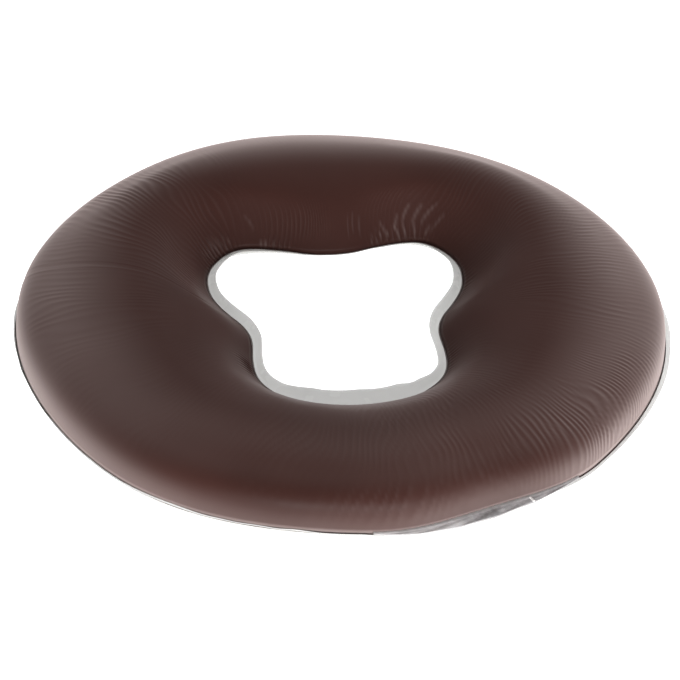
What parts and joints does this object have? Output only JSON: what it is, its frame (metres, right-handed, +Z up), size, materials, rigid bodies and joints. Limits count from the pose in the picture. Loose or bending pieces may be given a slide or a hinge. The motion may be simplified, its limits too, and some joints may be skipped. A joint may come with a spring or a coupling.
{
  "type": "face cradle cushion",
  "caption": "Ring-shaped gel cushion with a bell-shaped face opening, for resting the face on a massage table or spa bed.",
  "frame": {"origin": "middle of the base, on the table", "axes": "+X across the pad's width, +Y towards the forehead end of the opening, +Z up through the opening"},
  "size_m": [0.2909, 0.2684, 0.0357],
  "materials": {
    "brown_film": "satin, finely wrinkled",
    "clear_gel": "soft translucent",
    "clear_film": "clear, slightly milky",
    "weld_seam": "smooth, glossy where melted"
  },
  "bodies": {
    "root": {"top_film": "brown_film", "gel_core": "clear_gel", "bottom_film": "clear_film", "outer_weld": "weld_seam", "inner_weld": "weld_seam", "fill_neck": "clear_film", "fill_neck_seal": "clear_film"}
  },
  "joints": []
}
